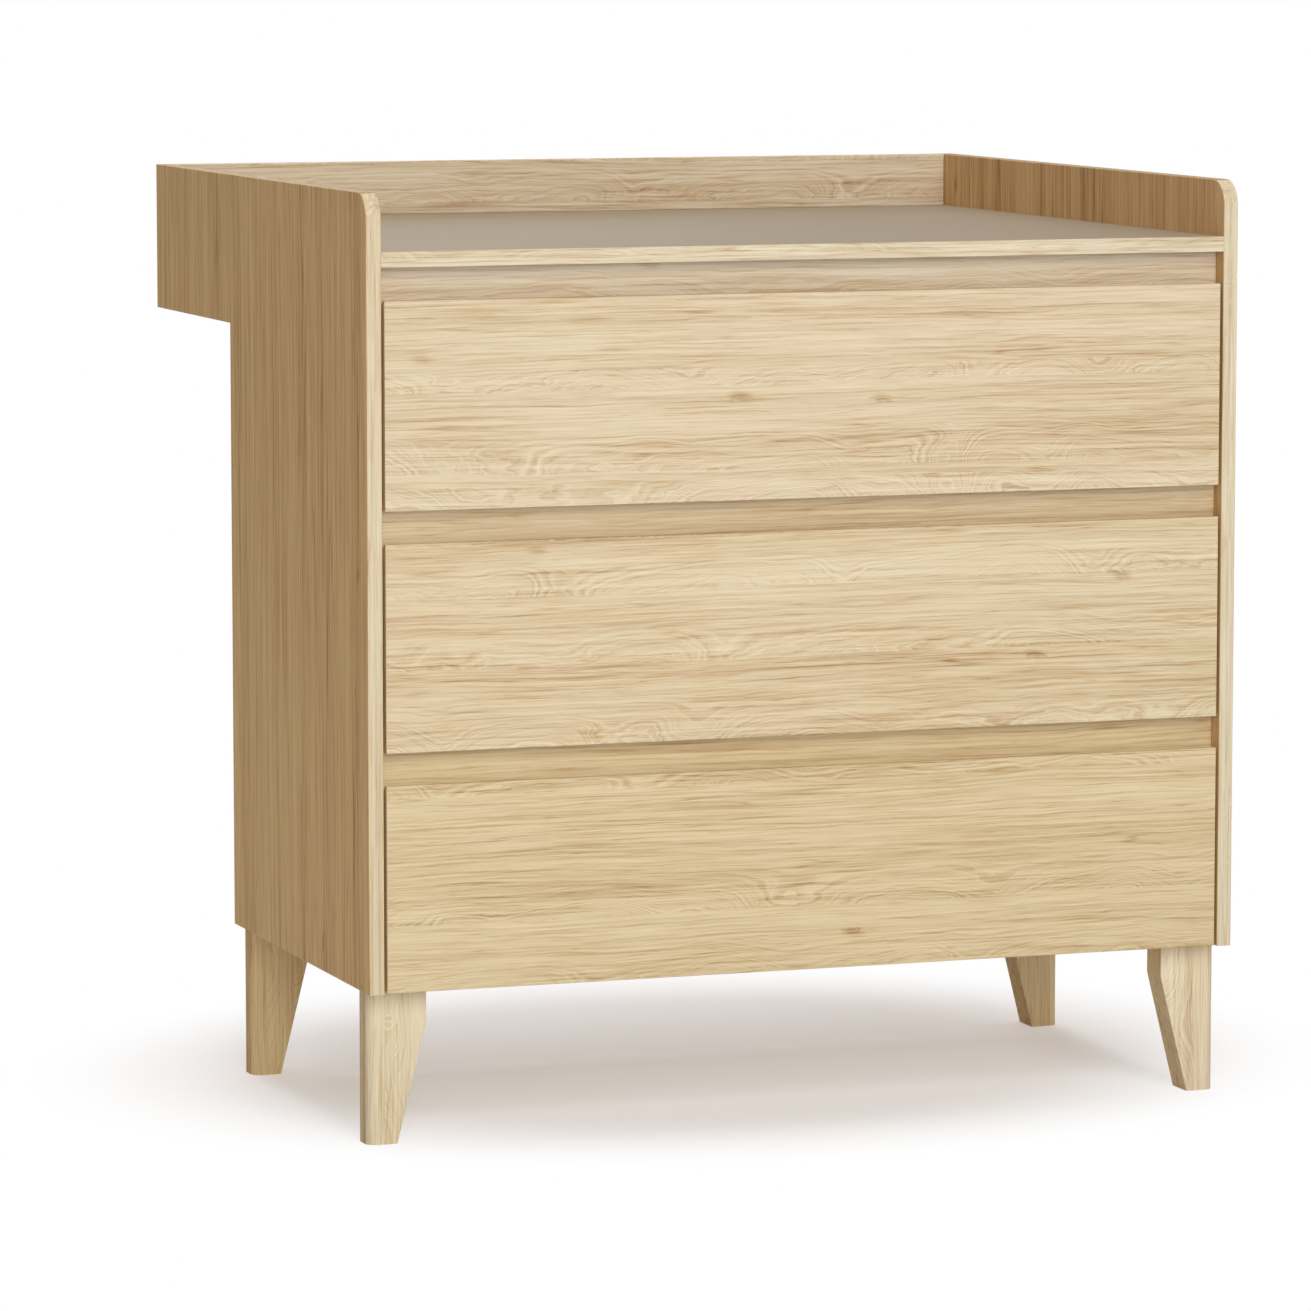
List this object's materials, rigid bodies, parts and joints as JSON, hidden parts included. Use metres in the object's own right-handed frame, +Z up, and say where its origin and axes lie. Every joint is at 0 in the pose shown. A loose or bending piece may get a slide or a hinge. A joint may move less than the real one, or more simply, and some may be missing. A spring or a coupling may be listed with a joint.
{
  "type": "changing table",
  "caption": "Oak chest of drawers on tapered legs with a guarded changing top that overhangs behind; handle-less drawers slide on roller runners and are pulled through grip gaps.",
  "frame": {"origin": "middle of the whole footprint, on the floor", "axes": "+X to the right seen from the front, +Y from the drawers to the wall side, +Z up"},
  "size_m": [0.96, 0.797, 0.975],
  "materials": {
    "oak_board": "matt oak-grain board, grain printed or veneered",
    "solid_oak": "matt lacquered solid oak",
    "changing_laminate": "satin plain greige laminate on board",
    "drawer_board": "matt off-white foiled board",
    "hardboard": "thin hardboard, smooth face",
    "beech_dowel": "bare beech",
    "coated_steel": "off-white epoxy coat",
    "nylon": "moulded nylon",
    "zinc_steel": "bright zinc plate"
  },
  "bodies": {
    "carcass": {"left_side_panel": "oak_board", "right_side_panel": "oak_board", "changing_top": "changing_laminate", "top_front_band": "oak_board", "rear_guard_board": "oak_board", "bottom_panel": "oak_board", "back_panel": "hardboard", "bottom_grip_rail": "oak_board", "middle_grip_rail": "oak_board", "top_grip_rail": "oak_board", "front_left_leg": "solid_oak", "front_right_leg": "solid_oak", "rear_left_leg": "solid_oak", "rear_right_leg": "solid_oak", "cam_locks": "zinc_steel", "cam_bolts": "zinc_steel", "carcass_dowels": "beech_dowel", "leg_screws": "zinc_steel", "runner_screws": "zinc_steel", "back_panel_pins": "zinc_steel", "bottom_cabinet_runner_left": "coated_steel", "bottom_cabinet_runner_right": "coated_steel", "middle_cabinet_runner_left": "coated_steel", "middle_cabinet_runner_right": "coated_steel", "top_cabinet_runner_left": "coated_steel", "top_cabinet_runner_right": "coated_steel"},
    "bottom_drawer": {"bottom_drawer_front": "oak_board", "bottom_drawer_left_side": "drawer_board", "bottom_drawer_right_side": "drawer_board", "bottom_drawer_back": "drawer_board", "bottom_drawer_bottom": "hardboard", "bottom_drawer_dowels": "beech_dowel", "bottom_drawer_fasteners": "zinc_steel", "bottom_drawer_runner_left": "coated_steel", "bottom_drawer_runner_right": "coated_steel"},
    "bottom_front_rollers": {"bottom_front_rollers": "nylon"},
    "bottom_rear_rollers": {"bottom_rear_rollers": "nylon"},
    "middle_drawer": {"middle_drawer_front": "oak_board", "middle_drawer_left_side": "drawer_board", "middle_drawer_right_side": "drawer_board", "middle_drawer_back": "drawer_board", "middle_drawer_bottom": "hardboard", "middle_drawer_dowels": "beech_dowel", "middle_drawer_fasteners": "zinc_steel", "middle_drawer_runner_left": "coated_steel", "middle_drawer_runner_right": "coated_steel"},
    "middle_front_rollers": {"middle_front_rollers": "nylon"},
    "middle_rear_rollers": {"middle_rear_rollers": "nylon"},
    "top_drawer": {"top_drawer_front": "oak_board", "top_drawer_left_side": "drawer_board", "top_drawer_right_side": "drawer_board", "top_drawer_back": "drawer_board", "top_drawer_bottom": "hardboard", "top_drawer_dowels": "beech_dowel", "top_drawer_fasteners": "zinc_steel", "top_drawer_runner_left": "coated_steel", "top_drawer_runner_right": "coated_steel"},
    "top_front_rollers": {"top_front_rollers": "nylon"},
    "top_rear_rollers": {"top_rear_rollers": "nylon"}
  },
  "joints": [
    {"name": "bottom_drawer_slide", "type": "slide", "parent": "carcass", "child": "bottom_drawer", "axis": [0, -1, 0], "range_m": [0, 0.34]},
    {"name": "bottom_front_roller_spin", "type": "hinge", "parent": "carcass", "child": "bottom_front_rollers", "pos_m": [0, -0.3635, 0.193], "axis": [1, 0, 0], "range_deg": [0, 1700]},
    {"name": "bottom_rear_roller_spin", "type": "hinge", "parent": "bottom_drawer", "child": "bottom_rear_rollers", "pos_m": [0, 0.0435, 0.191], "axis": [1, 0, 0], "range_deg": [0, 1700]},
    {"name": "middle_drawer_slide", "type": "slide", "parent": "carcass", "child": "middle_drawer", "axis": [0, -1, 0], "range_m": [0, 0.34]},
    {"name": "middle_front_roller_spin", "type": "hinge", "parent": "carcass", "child": "middle_front_rollers", "pos_m": [0, -0.3635, 0.43933], "axis": [1, 0, 0], "range_deg": [0, 1700]},
    {"name": "middle_rear_roller_spin", "type": "hinge", "parent": "middle_drawer", "child": "middle_rear_rollers", "pos_m": [0, 0.0435, 0.43733], "axis": [1, 0, 0], "range_deg": [0, 1700]},
    {"name": "top_drawer_slide", "type": "slide", "parent": "carcass", "child": "top_drawer", "axis": [0, -1, 0], "range_m": [0, 0.34]},
    {"name": "top_front_roller_spin", "type": "hinge", "parent": "carcass", "child": "top_front_rollers", "pos_m": [0, -0.3635, 0.68567], "axis": [1, 0, 0], "range_deg": [0, 1700]},
    {"name": "top_rear_roller_spin", "type": "hinge", "parent": "top_drawer", "child": "top_rear_rollers", "pos_m": [0, 0.0435, 0.68367], "axis": [1, 0, 0], "range_deg": [0, 1700]}
  ],
  "couplings": [
    {"joint": "bottom_front_roller_spin", "follows": "bottom_drawer_slide", "rad_per_m": 86.957},
    {"joint": "bottom_rear_roller_spin", "follows": "bottom_drawer_slide", "rad_per_m": 86.957},
    {"joint": "middle_front_roller_spin", "follows": "middle_drawer_slide", "rad_per_m": 86.957},
    {"joint": "middle_rear_roller_spin", "follows": "middle_drawer_slide", "rad_per_m": 86.957},
    {"joint": "top_front_roller_spin", "follows": "top_drawer_slide", "rad_per_m": 86.957},
    {"joint": "top_rear_roller_spin", "follows": "top_drawer_slide", "rad_per_m": 86.957}
  ]
}
